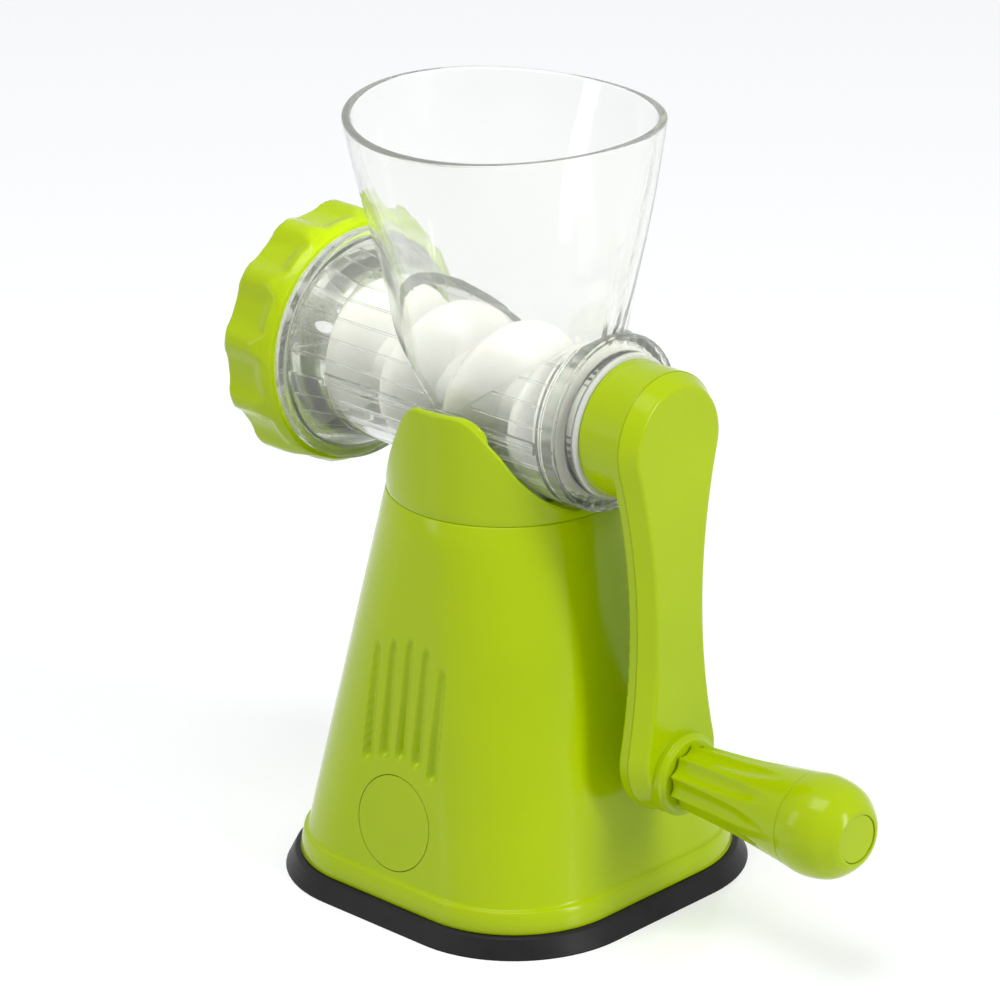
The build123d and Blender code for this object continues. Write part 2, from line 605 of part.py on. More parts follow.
def cutter_knife():
    front = PLATE_IN + FREE_GAP
    back = AUGER_FRONT
    hub = rod_x(front, back, KNIFE_HUB_R)
    blade_face = make_face(Polyline((5.0, -4.6), (KNIFE_R - 1.0, -2.2), (KNIFE_R, 0.0),
                                    (KNIFE_R - 0.5, 2.6), (KNIFE_R - 8.0, 4.4), (5.0, 5.6), close=True))
    knife = hub
    for i in range(KNIFE_BLADES):
        blade = Plane.YZ * (Rot(0, 0, 360 / KNIFE_BLADES * i) * blade_face)
        knife += Pos(front, 0, BARREL_Z) * extrude(blade, KNIFE_THICK)
    return knife - square_bar(front - 1, back + 1, PIN_SQUARE)


def orifice_plate():
    face = Circle(ORIFICE_PLATE_R) - Circle(PIN_NOSE_R + RUNNING_FIT)
    for ring_r, count in ORIFICE_RINGS:
        for i in range(count):
            angle = 2 * pi * i / count
            face -= Pos(ring_r * cos(angle), ring_r * sin(angle)) * Circle(ORIFICE_HOLE_R)
    plate = Pos(PLATE_OUT, 0, BARREL_Z) * extrude(Plane.YZ * face, ORIFICE_PLATE_THICK)
    half = PLATE_KEY / 2 + 0.3
    return plate - block(PLATE_OUT - 1, PLATE_IN + 1, -half, half,
                         BARREL_Z - MOUTH_R - 2, BARREL_Z - MOUTH_R + 2.4)


# ------------------------------------------------------------------ outlet nut

GASKET_IN = PLATE_OUT
GASKET_OUT = GASKET_IN - GASKET_THICK


def nut_gasket():
    ring = rod_x(GASKET_OUT, GASKET_IN, GASKET_R)
    return ring - rod_x(GASKET_OUT - 1, GASKET_IN + 1, NUT_OPENING_R)


def wavy_outline():
    """Twelve narrow round ridges joined by wide hollows."""
    arcs = []
    pitch = 2 * pi / NUT_LOBES
    step = pitch * NUT_RIDGE
    middle_r = NUT_VALLEY_R + (NUT_CREST_R - NUT_VALLEY_R) * (1 - NUT_RIDGE * 2)
    for i in range(NUT_LOBES):
        a = radians(NUT_PHASE) + pitch * i
        start = (middle_r * cos(a - step), middle_r * sin(a - step))
        crest = (NUT_CREST_R * cos(a), NUT_CREST_R * sin(a))
        end = (middle_r * cos(a + step), middle_r * sin(a + step))
        valley = (NUT_VALLEY_R * cos(a + pitch / 2), NUT_VALLEY_R * sin(a + pitch / 2))
        after = (middle_r * cos(a + pitch - step), middle_r * sin(a + pitch - step))
        arcs.append(ThreePointArc(start, crest, end))
        arcs.append(ThreePointArc(end, valley, after))
    return arcs


def ring_nut():
    near = FLANGE_START - FREE_GAP
    length = near - NUT_FACE
    wavy = extrude(Plane.YZ * make_face(wavy_outline()), length)
    wavy = Pos(NUT_FACE, 0, BARREL_Z) * wavy
    start = near - NUT_SHOULDER
    bulge = near - NUT_SHOULDER / 3
    envelope = turned_x([(NUT_FACE, 0), (NUT_FACE, NUT_CREST_R - 3.0), (NUT_FACE + 0.9, NUT_CREST_R - 0.9),
                         (NUT_FACE + 3.0, NUT_CREST_R + 0.2), (start, NUT_CREST_R + 0.2),
                         (bulge, NUT_RIM_R + 1.9), (near - 0.8, NUT_RIM_R + 0.4),
                         (near, NUT_RIM_R), (near, 0)], BARREL_Z)
    smooth_end = turned_x([(start, 0), (start, NUT_VALLEY_R - 1.4), (bulge, NUT_RIM_R + 1.6),
                           (near - 0.8, NUT_RIM_R + 0.3), (near, NUT_RIM_R - 0.1), (near, 0)], BARREL_Z)
    nut = (wavy & envelope) + smooth_end
    nut -= rod_x(NUT_FACE - 1, near + 1, NUT_OPENING_R)
    nut -= rod_x(GASKET_OUT, near + 1, THREAD_NECK_R + FREE_GAP)
    return nut


# ------------------------------------------------------------------ crank

def arm_outline(inset):
    """Crank arm seen along X: round top and end, joined by long hollow sides."""
    top_r = HUB_R - inset
    end_r = ARM_END_R - inset
    side_r = ARM_WAIST_R + inset
    top_z = BARREL_Z
    end_z = GRIP_Z + ARM_END_UP
    gap = top_z - end_z
    to_top = top_r + side_r
    to_end = end_r + side_r
    up = (to_end ** 2 - to_top ** 2 + gap ** 2) / (2 * gap)
    out = sqrt(to_end ** 2 - up ** 2)
    centre_z = end_z + up
    top_touch = (out * top_r / to_top, top_z + (centre_z - top_z) * top_r / to_top)
    end_touch = (out * end_r / to_end, end_z + (centre_z - end_z) * end_r / to_end)
    edges = []
    for side in (1, -1):
        edges.append(ThreePointArc((side * top_touch[0], top_touch[1]),
                                   (side * (out - side_r), centre_z),
                                   (side * end_touch[0], end_touch[1])))
    edges.append(ThreePointArc((top_touch[0], top_touch[1]), (0, top_z + top_r),
                               (-top_touch[0], top_touch[1])))
    edges.append(ThreePointArc((end_touch[0], end_touch[1]), (0, end_z - end_r),
                               (-end_touch[0], end_touch[1])))
    return make_face(edges)


def arm_slab(x0, inset0, x1, inset1):
    low = Pos(x0, 0, 0) * (Plane.YZ * arm_outline(inset0))
    high = Pos(x1, 0, 0) * (Plane.YZ * arm_outline(inset1))
    return loft([low, high], ruled=True)


ARM_SCREWS = [BARREL_Z - 33.8, BARREL_Z - 73.8, BARREL_Z - 97.8]     # z of the arm's screws


def crank_arm():
    hub_start = REAR_BOSS_END + WASHER_THICK + FREE_GAP
    arm = arm_slab(ARM_BACK, 0, ARM_SEAM, 0)
    arm = fillet(arm.edges().group_by(Axis.X)[0], 1.0)
    arm += rod_x(hub_start, ARM_BACK + 1, HUB_R)
    arm -= rod_x(hub_start - 1, ARM_BACK, HUB_CAVITY_R) - rod_x(hub_start - 2, ARM_BACK + 1, SOCKET_R)
    arm -= hex_bar(hub_start - 1, ARM_BACK, HEX_FLATS + 0.2)
    arm -= rod_x(RING_GROOVE_X, RING_GROOVE_X + RING_GROOVE, HEX_FLATS / 2 + 0.5)
    arm -= rod_x(ARM_BACK - 1, ARM_SEAM + 1, PIN_R, GRIP_Z)
    arm -= rod_x(ARM_BACK - 1, ARM_BACK + 1.8, PIN_HEAD_R - 0.5, GRIP_Z)
    for z in ARM_SCREWS:
        arm -= rod_x(ARM_BACK - 1, ARM_SEAM + 1, SCREW_R + 0.3, z)
        arm -= rod_x(ARM_BACK - 1, ARM_BACK + 2.0, SCREW_HEAD_R + 0.2, z)
    return arm


def crank_cover():
    cover = arm_slab(ARM_SEAM, 0.15, ARM_FRONT, ARM_DRAFT)
    cover = fillet(cover.edges().group_by(Axis.X)[-1], ARM_EDGE_ROUND)
    inside = arm_slab(ARM_SEAM, ARM_WALL, ARM_FRONT - ARM_WALL, ARM_DRAFT + ARM_WALL)
    boss = turned_x([(ARM_SEAM, 0), (ARM_SEAM, ARM_BOSS_R - 2), (ARM_FRONT - 2, ARM_BOSS_R),
                     (ARM_FRONT + 2.4, ARM_BOSS_R), (ARM_FRONT + 2.8, ARM_BOSS_TOP_R + 0.8),
                     (ARM_BOSS_END, ARM_BOSS_TOP_R), (ARM_BOSS_END, 0)], GRIP_Z)
    cover = cover - inside + boss
    for z in ARM_SCREWS:
        cover += rod_x(ARM_SEAM, ARM_FRONT - 1, ARM_POST_R, z)
        cover -= rod_x(ARM_SEAM - 1, ARM_FRONT - 1.6, SCREW_R + SCREW_GAP, z)
    return cover - rod_x(ARM_SEAM - 1, ARM_BOSS_END + 1, PIN_R, GRIP_Z)


def arm_screws():
    group = []
    for z in ARM_SCREWS:
        head = rod_x(ARM_BACK + 0.2, ARM_BACK + 2.0, SCREW_HEAD_R, z)
        screw = head + rod_x(ARM_BACK + 1, ARM_FRONT - 2.0, SCREW_R, z)
        slot = block(ARM_BACK, ARM_BACK + 1.0, -2.4, 2.4, z - 0.4, z + 0.4)
        cross = block(ARM_BACK, ARM_BACK + 1.0, -0.4, 0.4, z - 2.4, z + 2.4)
        group.append(screw - slot - cross)
    return group


# ------------------------------------------------------------------ grip

WASHER_X = GRIP_SEAM - CAP_SPIGOT + FREE_GAP      # washer just clear of the sleeve's floor
PIN_END = WASHER_X + PIN_WASHER + PIN_HEAD


def grip_axle():
    head_x = PIN_END - PIN_HEAD
    pin = rod_x(ARM_BACK + 1.8, PIN_END - 1, PIN_R, GRIP_Z)
    pin += rod_x(ARM_BACK + 0.3, ARM_BACK + 1.8, PIN_HEAD_R - 0.7, GRIP_Z)
    pin += rod_x(head_x, PIN_END, PIN_HEAD_R, GRIP_Z)
    return pin


def axle_washer():
    ring = rod_x(WASHER_X, WASHER_X + PIN_WASHER, PIN_WASHER_R, GRIP_Z)
    return ring - rod_x(WASHER_X - 1, WASHER_X + 3, PIN_R, GRIP_Z)


def grip_sleeve():
    middle = [(GRIP_START + share * SLEEVE_LENGTH, r) for share, r in SLEEVE_SWELL]
    curve = Spline((GRIP_START, GRIP_SMALL_R), *middle, (GRIP_SEAM, GRIP_SEAM_R),
                   tangents=[(1, 0.02), (1, 0.12)])
    outline = [curve, Line((GRIP_SEAM, GRIP_SEAM_R), (GRIP_SEAM, 0)),
               Line((GRIP_SEAM, 0), (GRIP_START, 0)), Line((GRIP_START, 0), (GRIP_START, GRIP_SMALL_R))]
    sleeve = Pos(0, 0, GRIP_Z) * revolve(Plane.XZ * make_face(outline), Axis.X, 360)
    for i in range(GRIP_FLUTES):
        sleeve -= Pos(0, 0, GRIP_Z) * Rot(360 / GRIP_FLUTES * i, 0, 0) * flute()
    sleeve -= rod_x(GRIP_SEAM - CAP_SPIGOT, GRIP_SEAM + 1, GRIP_SEAM_R - 3.5, GRIP_Z)
    sleeve -= rod_x(GRIP_START + 14, GRIP_SEAM - 14, PIN_R + 3.0, GRIP_Z)
    return sleeve - rod_x(GRIP_START - 1, GRIP_SEAM, PIN_R + RUNNING_FIT, GRIP_Z)


def flute():
    """Long round cutter that follows the grip's swell and runs out before the cap."""
    start = Vector(GRIP_START - 8, 0, GRIP_SMALL_R + FLUTE_R - FLUTE_DEPTH - 0.3)
    end = Vector(GRIP_SEAM - FLUTE_RUNOUT, 0, SLEEVE_SWELL[-1][1] + FLUTE_R - 0.6)
    span = end - start
    bar = Plane(origin=start + span * 0.5, z_dir=span) * Cylinder(FLUTE_R, span.length)
    return bar + Pos(end) * Sphere(FLUTE_R)


def grip_cap():
    """Smooth domed end of the grip."""
    middle = [(GRIP_SEAM + share * CAP_LENGTH, r) for share, r in CAP_DOME]
    dome = Spline((GRIP_SEAM, GRIP_SEAM_R), *middle, (GRIP_END, CAP_END_R),
                  tangents=[(1, 0.25), (0.5, -1)])
    outline = [dome, Line((GRIP_END, CAP_END_R), (GRIP_END, 0)), Line((GRIP_END, 0), (GRIP_SEAM, 0)),
               Line((GRIP_SEAM, 0), (GRIP_SEAM, GRIP_SEAM_R))]
    cap = Pos(0, 0, GRIP_Z) * revolve(Plane.XZ * make_face(outline), Axis.X, 360)
    spigot_r = GRIP_SEAM_R - 3.6
    cap += rod_x(GRIP_SEAM - CAP_SPIGOT + 0.2, GRIP_SEAM + 1, spigot_r, GRIP_Z)
    cap -= rod_x(GRIP_SEAM - CAP_SPIGOT, GRIP_END - 8, PIN_HEAD_R + 3.0, GRIP_Z)
    cap -= rod_x(GRIP_END - 1.6, GRIP_END + 1, PLUG_R + 0.2, GRIP_Z)
    return cap


def grip_plug():
    return rod_x(GRIP_END - 1.6, GRIP_END - 0.4, PLUG_R, GRIP_Z)


# ------------------------------------------------------------------ write

PARTS = {
    "suction_pad": suction_pad, "base_plate": base_plate, "pedestal_shell": pedestal_shell,
    "side_cover_disc": side_cover_disc, "cam_axle": cam_axle, "axle_clip": axle_clip,
    "suction_stem": suction_stem, "suction_lever": suction_lever, "lever_screw": lever_screw,
    "saddle_collar": saddle_collar, "barrel_hopper": barrel_hopper, "rear_bush": rear_bush,
    "thrust_washer": thrust_washer, "auger": auger, "hex_shaft": hex_shaft,
    "shaft_o_ring": shaft_o_ring, "knife_spindle": knife_spindle, "cutter_knife": cutter_knife,
    "orifice_plate": orifice_plate, "nut_gasket": nut_gasket, "ring_nut": ring_nut,
    "crank_arm": crank_arm, "crank_cover": crank_cover, "arm_screws": arm_screws,
    "grip_axle": grip_axle, "axle_washer": axle_washer, "grip_sleeve": grip_sleeve,
    "grip_cap": grip_cap, "grip_plug": grip_plug,
}

SCREW_GROUPS = {
    "base_screws": [screw_up(x, y, PLATE_Z, 12.0) for x, y in BASE_SCREWS],
    "collar_screws": [screw_up(x, y, DECK_Z, 10.0) for x, y in COLLAR_SCREWS],
    "head_screws": [screw_up(x, y, DECK_Z, 9.5) for x, y in HEAD_SCREWS],
}


def write(name, made):
    pieces = made if isinstance(made, list) else [made]
    solids = [solid for piece in pieces for solid in piece.solids()]
    shape = solids[0] if len(solids) == 1 else Compound(children=solids)
    export_step(shape, "parts/" + name + ".step")
    print(name, len(solids), round(sum(solid.volume for solid in solids)))


if __name__ == "__main__":
    os.makedirs("parts", exist_ok=True)
    for name, maker in PARTS.items():
        write(name, maker())
    for name, group in SCREW_GROUPS.items():
        write(name, group)
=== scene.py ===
import bpy
from math import cos, pi, radians, sin, sqrt, tau
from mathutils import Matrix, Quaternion, Vector


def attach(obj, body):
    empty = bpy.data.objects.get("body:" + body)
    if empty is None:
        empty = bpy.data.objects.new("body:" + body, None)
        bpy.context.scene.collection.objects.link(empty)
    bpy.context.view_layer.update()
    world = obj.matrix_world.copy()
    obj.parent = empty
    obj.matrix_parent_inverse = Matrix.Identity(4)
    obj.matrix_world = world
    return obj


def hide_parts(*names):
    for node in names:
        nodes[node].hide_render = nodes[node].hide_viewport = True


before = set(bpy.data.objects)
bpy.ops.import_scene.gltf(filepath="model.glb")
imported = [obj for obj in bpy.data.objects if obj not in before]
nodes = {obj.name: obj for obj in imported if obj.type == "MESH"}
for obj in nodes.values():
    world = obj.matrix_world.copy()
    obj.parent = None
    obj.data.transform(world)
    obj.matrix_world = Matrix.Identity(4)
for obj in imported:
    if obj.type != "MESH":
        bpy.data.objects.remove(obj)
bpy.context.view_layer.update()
bpy.context.scene.view_settings.view_transform = "Standard"
mm = 0.001
print("frame loaded", len(nodes), "nodes")


def addCamera():
    view = {
        "target": (-0.0056, 0.0010, 0.1316),
        "azimuth": 44.7,          # degrees round from -Y towards +X
        "elevation": 22.0,
        "roll": -1.2,
        "distance": 1.8,
        "lens": 191.4,
    }
    azimuth = radians(view["azimuth"])
    elevation = radians(view["elevation"])
    back = Vector((sin(azimuth) * cos(elevation), -cos(azimuth) * cos(elevation), sin(elevation)))
    place = Vector(view["target"]) + back * view["distance"]
    turn = back.to_track_quat("Z", "Y") @ Quaternion((0, 0, 1), radians(view["roll"]))
    bpy.ops.object.camera_add(location=place, rotation=turn.to_euler())
    camera = bpy.context.object
    camera.name = "photoCamera"
    camera.data.lens = view["lens"]
    camera.data.sensor_width = 36.0
    camera.data.clip_end = 20.0
    bpy.context.scene.camera = camera


# small helper round one material's node tree
class Shader:
    def __init__(self, name):
        self.material = bpy.data.materials.new(name)
        self.material.use_nodes = True
        self.tree = self.material.node_tree
        self.main = self.tree.nodes["Principled BSDF"]
        self.output = self.tree.nodes["Material Output"]
        self.coords = self.node("ShaderNodeTexCoord")

    def node(self, kind, **values):
        made = self.tree.nodes.new(kind)
        for key, value in values.items():
            setattr(made, key, value)
        return made

    def link(self, start, end):
        self.tree.links.new(start, end)

    def setup(self, **values):
        for key, value in values.items():
            self.main.inputs[key.replace("_", " ")].default_value = value

    def math(self, operation, first, second=None):
        made = self.node("ShaderNodeMath", operation=operation)
        for place, value in enumerate((first, second)):
            if isinstance(value, float):
                made.inputs[place].default_value = value
            elif value is not None:
                self.link(value, made.inputs[place])
        return made.outputs["Value"]

    def noise(self, scale, detail=3.0, roughness=0.55, stretch=None):
        made = self.node("ShaderNodeTexNoise")
        made.inputs["Scale"].default_value = scale
        made.inputs["Detail"].default_value = detail
        made.inputs["Roughness"].default_value = roughness
        source = self.coords.outputs["Object"]
        if stretch:
            mapping = self.node("ShaderNodeMapping")
            mapping.inputs["Scale"].default_value = stretch
            self.link(source, mapping.inputs["Vector"])
            source = mapping.outputs["Vector"]
        self.link(source, made.inputs["Vector"])
        return made.outputs["Fac"]

    def ramp(self, source, low, high, start=0.3, end=0.7):
        made = self.node("ShaderNodeValToRGB")
        made.color_ramp.elements[0].position = start
        made.color_ramp.elements[1].position = end
        made.color_ramp.elements[0].color = (*low, 1.0)
        made.color_ramp.elements[1].color = (*high, 1.0)
        self.link(source, made.inputs["Fac"])
        return made.outputs["Color"]

    def spread(self, source, low, high):
        made = self.node("ShaderNodeMapRange")
        made.inputs["From Min"].default_value = 0.3
        made.inputs["From Max"].default_value = 0.7
        made.inputs["To Min"].default_value = low
        made.inputs["To Max"].default_value = high
        self.link(source, made.inputs["Value"])
        return made.outputs["Result"]

    def bump(self, heights, distance, strength, edge=0.0):
        made = self.node("ShaderNodeBump")
        made.inputs["Distance"].default_value = distance
        made.inputs["Strength"].default_value = strength
        self.link(heights, made.inputs["Height"])
        if edge:
            bevel = self.node("ShaderNodeBevel", samples=6)
            bevel.inputs["Radius"].default_value = edge
            self.link(bevel.outputs["Normal"], made.inputs["Normal"])
        self.link(made.outputs["Normal"], self.main.inputs["Normal"])
        return made.outputs["Normal"]


def makeLimePlastic(name="limePlastic", edge=0.5 * mm):
    shader = Shader(name)
    drift = shader.noise(16.0, 2.0)
    shader.link(shader.ramp(drift, (0.415, 0.565, 0.0), (0.455, 0.605, 0.0)),
                shader.main.inputs["Base Color"])
    handling = shader.noise(75.0, 4.0, 0.65)
    shader.link(shader.spread(handling, 0.13, 0.21), shader.main.inputs["Roughness"])
    peel = shader.noise(420.0, 2.0)
    shader.bump(peel, 0.05 * mm, 0.16, edge)
    shader.setup(IOR=1.47, Specular_IOR_Level=0.26)
    return shader.material


def addRingTeeth(shader, flow):
    ring = {"start": 43.3, "end": 50.2, "teeth": 36.0, "axisZ": 173.8, "height": 1.3}
    parts = shader.node("ShaderNodeSeparateXYZ")
    shader.link(shader.coords.outputs["Object"], parts.inputs["Vector"])
    up = shader.math("SUBTRACT", parts.outputs["Z"], ring["axisZ"] * mm)
    angle = shader.math("ARCTAN2", up, parts.outputs["Y"])
    wave = shader.math("SINE", shader.math("MULTIPLY", angle, ring["teeth"]))
    pastStart = shader.math("GREATER_THAN", parts.outputs["X"], ring["start"] * mm)
    beforeEnd = shader.math("LESS_THAN", parts.outputs["X"], ring["end"] * mm)
    onRing = shader.math("MULTIPLY", pastStart, beforeEnd)
    teeth = shader.math("MULTIPLY", shader.math("MULTIPLY", wave, ring["height"]), onRing)
    return shader.math("ADD", flow, teeth)


def makeClearPlastic():
    shader = Shader("clearPlastic")
    flow = shader.noise(28.0, 3.0, 0.6, (1.0, 1.0, 0.35))
    shader.link(shader.ramp(flow, (0.985, 0.990, 0.980), (1.0, 1.0, 1.0)),
                shader.main.inputs["Base Color"])
    scuffs = shader.noise(240.0, 5.0, 0.7)
    shader.link(shader.spread(scuffs, 0.005, 0.05), shader.main.inputs["Roughness"])
    shader.bump(addRingTeeth(shader, flow), 0.5 * mm, 0.22, 0.4 * mm)
    shader.setup(IOR=1.45, Transmission_Weight=0.9, Specular_IOR_Level=0.6)
    volume = shader.node("ShaderNodeVolumeAbsorption")
    volume.inputs["Color"].default_value = (0.60, 0.66, 0.46, 1.0)
    volume.inputs["Density"].default_value = 16.0
    shader.link(volume.outputs["Volume"], shader.output.inputs["Volume"])
    passing = shader.node("ShaderNodeBsdfTransparent")
    passing.inputs["Color"].default_value = (0.97, 0.98, 0.96, 1.0)
    paths = shader.node("ShaderNodeLightPath")
    mix = shader.node("ShaderNodeMixShader")
    shader.link(paths.outputs["Is Shadow Ray"], mix.inputs["Fac"])
    shader.link(shader.main.outputs["BSDF"], mix.inputs[1])
    shader.link(passing.outputs["BSDF"], mix.inputs[2])
    shader.link(mix.outputs["Shader"], shader.output.inputs["Surface"])
    return shader.material


def makeWhitePlastic():
    shader = Shader("whitePlastic")
    cloud = shader.noise(45.0, 3.0)
    shader.link(shader.ramp(cloud, (0.735, 0.730, 0.685), (0.79, 0.785, 0.745)),
                shader.main.inputs["Base Color"])
    grain = shader.noise(600.0, 3.0)
    shader.link(shader.spread(grain, 0.24, 0.38), shader.main.inputs["Roughness"])
    shader.bump(grain, 0.04 * mm, 0.2, 0.4 * mm)
    shader.setup(IOR=1.5, Subsurface_Weight=0.15, Subsurface_Scale=0.006)
    return shader.material


def makeBlackRubber():
    shader = Shader("blackRubber")
    bloom = shader.noise(38.0, 5.0, 0.7)
    shader.link(shader.ramp(bloom, (0.011, 0.010, 0.011), (0.020, 0.019, 0.021)),
                shader.main.inputs["Base Color"])
    grain = shader.noise(1500.0, 3.0, 0.6)
    shader.link(shader.spread(bloom, 0.36, 0.52), shader.main.inputs["Roughness"])
    shader.bump(grain, 0.06 * mm, 0.35, 0.8 * mm)
    shader.setup(IOR=1.45, Specular_IOR_Level=0.2)
    return shader.material


def makeInnerPlastic():
    shader = Shader("innerPlastic")
    cloud = shader.noise(55.0, 3.0)
    shader.link(shader.ramp(cloud, (0.10, 0.105, 0.10), (0.135, 0.14, 0.135)),
                shader.main.inputs["Base Color"])
    grain = shader.noise(900.0, 3.0)
    shader.link(shader.spread(grain, 0.4, 0.56), shader.main.inputs["Roughness"])
    shader.bump(grain, 0.05 * mm, 0.3, 0.3 * mm)
    shader.setup(IOR=1.48)
    return shader.material


def makeSteel():
    shader = Shader("steel")
    lines = shader.noise(260.0, 4.0, 0.6, (1.0, 9.0, 9.0))
    shader.link(shader.ramp(lines, (0.50, 0.50, 0.49), (0.66, 0.66, 0.65)),
                shader.main.inputs["Base Color"])
    shader.link(shader.spread(lines, 0.2, 0.36), shader.main.inputs["Roughness"])
    shader.bump(lines, 0.02 * mm, 0.25, 0.25 * mm)
    shader.setup(Metallic=1.0)
    return shader.material


def makeGasketRubber():
    shader = Shader("gasketRubber")
    cloud = shader.noise(60.0, 3.0)
    shader.link(shader.ramp(cloud, (0.62, 0.63, 0.60), (0.72, 0.73, 0.70)),
                shader.main.inputs["Base Color"])
    grain = shader.noise(1100.0, 2.0)
    shader.link(shader.spread(grain, 0.42, 0.55), shader.main.inputs["Roughness"])
    shader.bump(grain, 0.03 * mm, 0.25, 0.3 * mm)
    shader.setup(IOR=1.42, Subsurface_Weight=0.2, Subsurface_Scale=0.002)
    return shader.material


finishes = {
    "lime_plastic": makeLimePlastic(),
    "clear_plastic": makeClearPlastic(),
    "white_plastic": makeWhitePlastic(),
    "black_rubber": makeBlackRubber(),
    "inner_plastic": makeInnerPlastic(),
    "steel": makeSteel(),
    "gasket_rubber": makeGasketRubber(),
}


# each carried-over node gets the finish of its own slot
def dressNodes():
    for name, node in nodes.items():
        for place in node.material_slots:
            slotName = place.material.name.split(".")[0]
            place.material = finishes[slotName]


def clearSelection():
    if bpy.context.object and bpy.context.object.mode != "OBJECT":
        bpy.ops.object.mode_set(mode="OBJECT")
    bpy.ops.object.select_all(action="DESELECT")


def chooseOnly(piece):
    clearSelection()
    piece.select_set(True)
    bpy.context.view_layer.objects.active = piece


# a flat grid wrapped round a closed form: place(i, j) gives each point in millimetres
def wrapGrid(name, around, along, place):
    clearSelection()
    bpy.ops.mesh.primitive_grid_add(x_subdivisions=around, y_subdivisions=along, size=2.0)
    piece = bpy.context.object
    piece.name = name
    for point in piece.data.vertices:
        i = round((point.co.x + 1.0) / 2.0 * around)
        j = round((point.co.y + 1.0) / 2.0 * along)
        point.co = Vector(place(i % around, j)) * mm
    bpy.ops.object.mode_set(mode="EDIT")
    bpy.ops.mesh.select_all(action="SELECT")
    bpy.ops.mesh.remove_doubles(threshold=0.002 * mm)
    bpy.ops.mesh.normals_make_consistent(inside=False)
    bpy.ops.object.mode_set(mode="OBJECT")
    return piece


def finishPiece(piece, finish, body, replaced, angle=38.0):
    chooseOnly(piece)
    bpy.ops.object.shade_smooth_by_angle(angle=radians(angle))
    piece.data.materials.clear()
    piece.data.materials.append(finishes[finish])
    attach(piece, body)
    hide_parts(*replaced)
    print(piece.name, len(piece.data.vertices), "points")


def settlePlace(piece):
    chooseOnly(piece)
    bpy.ops.object.transform_apply(location=True, rotation=True, scale=True)


def addCylinder(name, radius, start, end, sides=96):
    start = Vector(start)
    end = Vector(end)
    clearSelection()
    bpy.ops.mesh.primitive_cylinder_add(
        vertices=sides, radius=radius * mm, depth=(end - start).length * mm,
        location=(start + end) / 2 * mm, rotation=(end - start).to_track_quat("Z", "Y").to_euler())
    made = bpy.context.object
    made.name = name
    settlePlace(made)
    return made


def joinSolids(piece, tool, operation):
    chooseOnly(piece)
    change = piece.modifiers.new("solidChange", "BOOLEAN")
    change.operation = operation
    change.solver = "EXACT"
    change.object = tool
    bpy.ops.object.modifier_apply(modifier=change.name)
    bpy.data.objects.remove(tool)


def softMin(a, b, width):
    share = max(width - abs(a - b), 0.0) / width
    return min(a, b) - share * share * width / 4


def softMax(a, b, width):
    return -softMin(-a, -b, width)


def softStep(low, high, value):
    share = min(max((value - low) / (high - low), 0.0), 1.0)
    return share * share * (3 - 2 * share)


def alongCurve(points, x):
    for (x0, v0), (x1, v1) in zip(points, points[1:]):
        if x <= x1:
            return v0 + (v1 - v0) * (x - x0) / (x1 - x0)
    return points[-1][1]


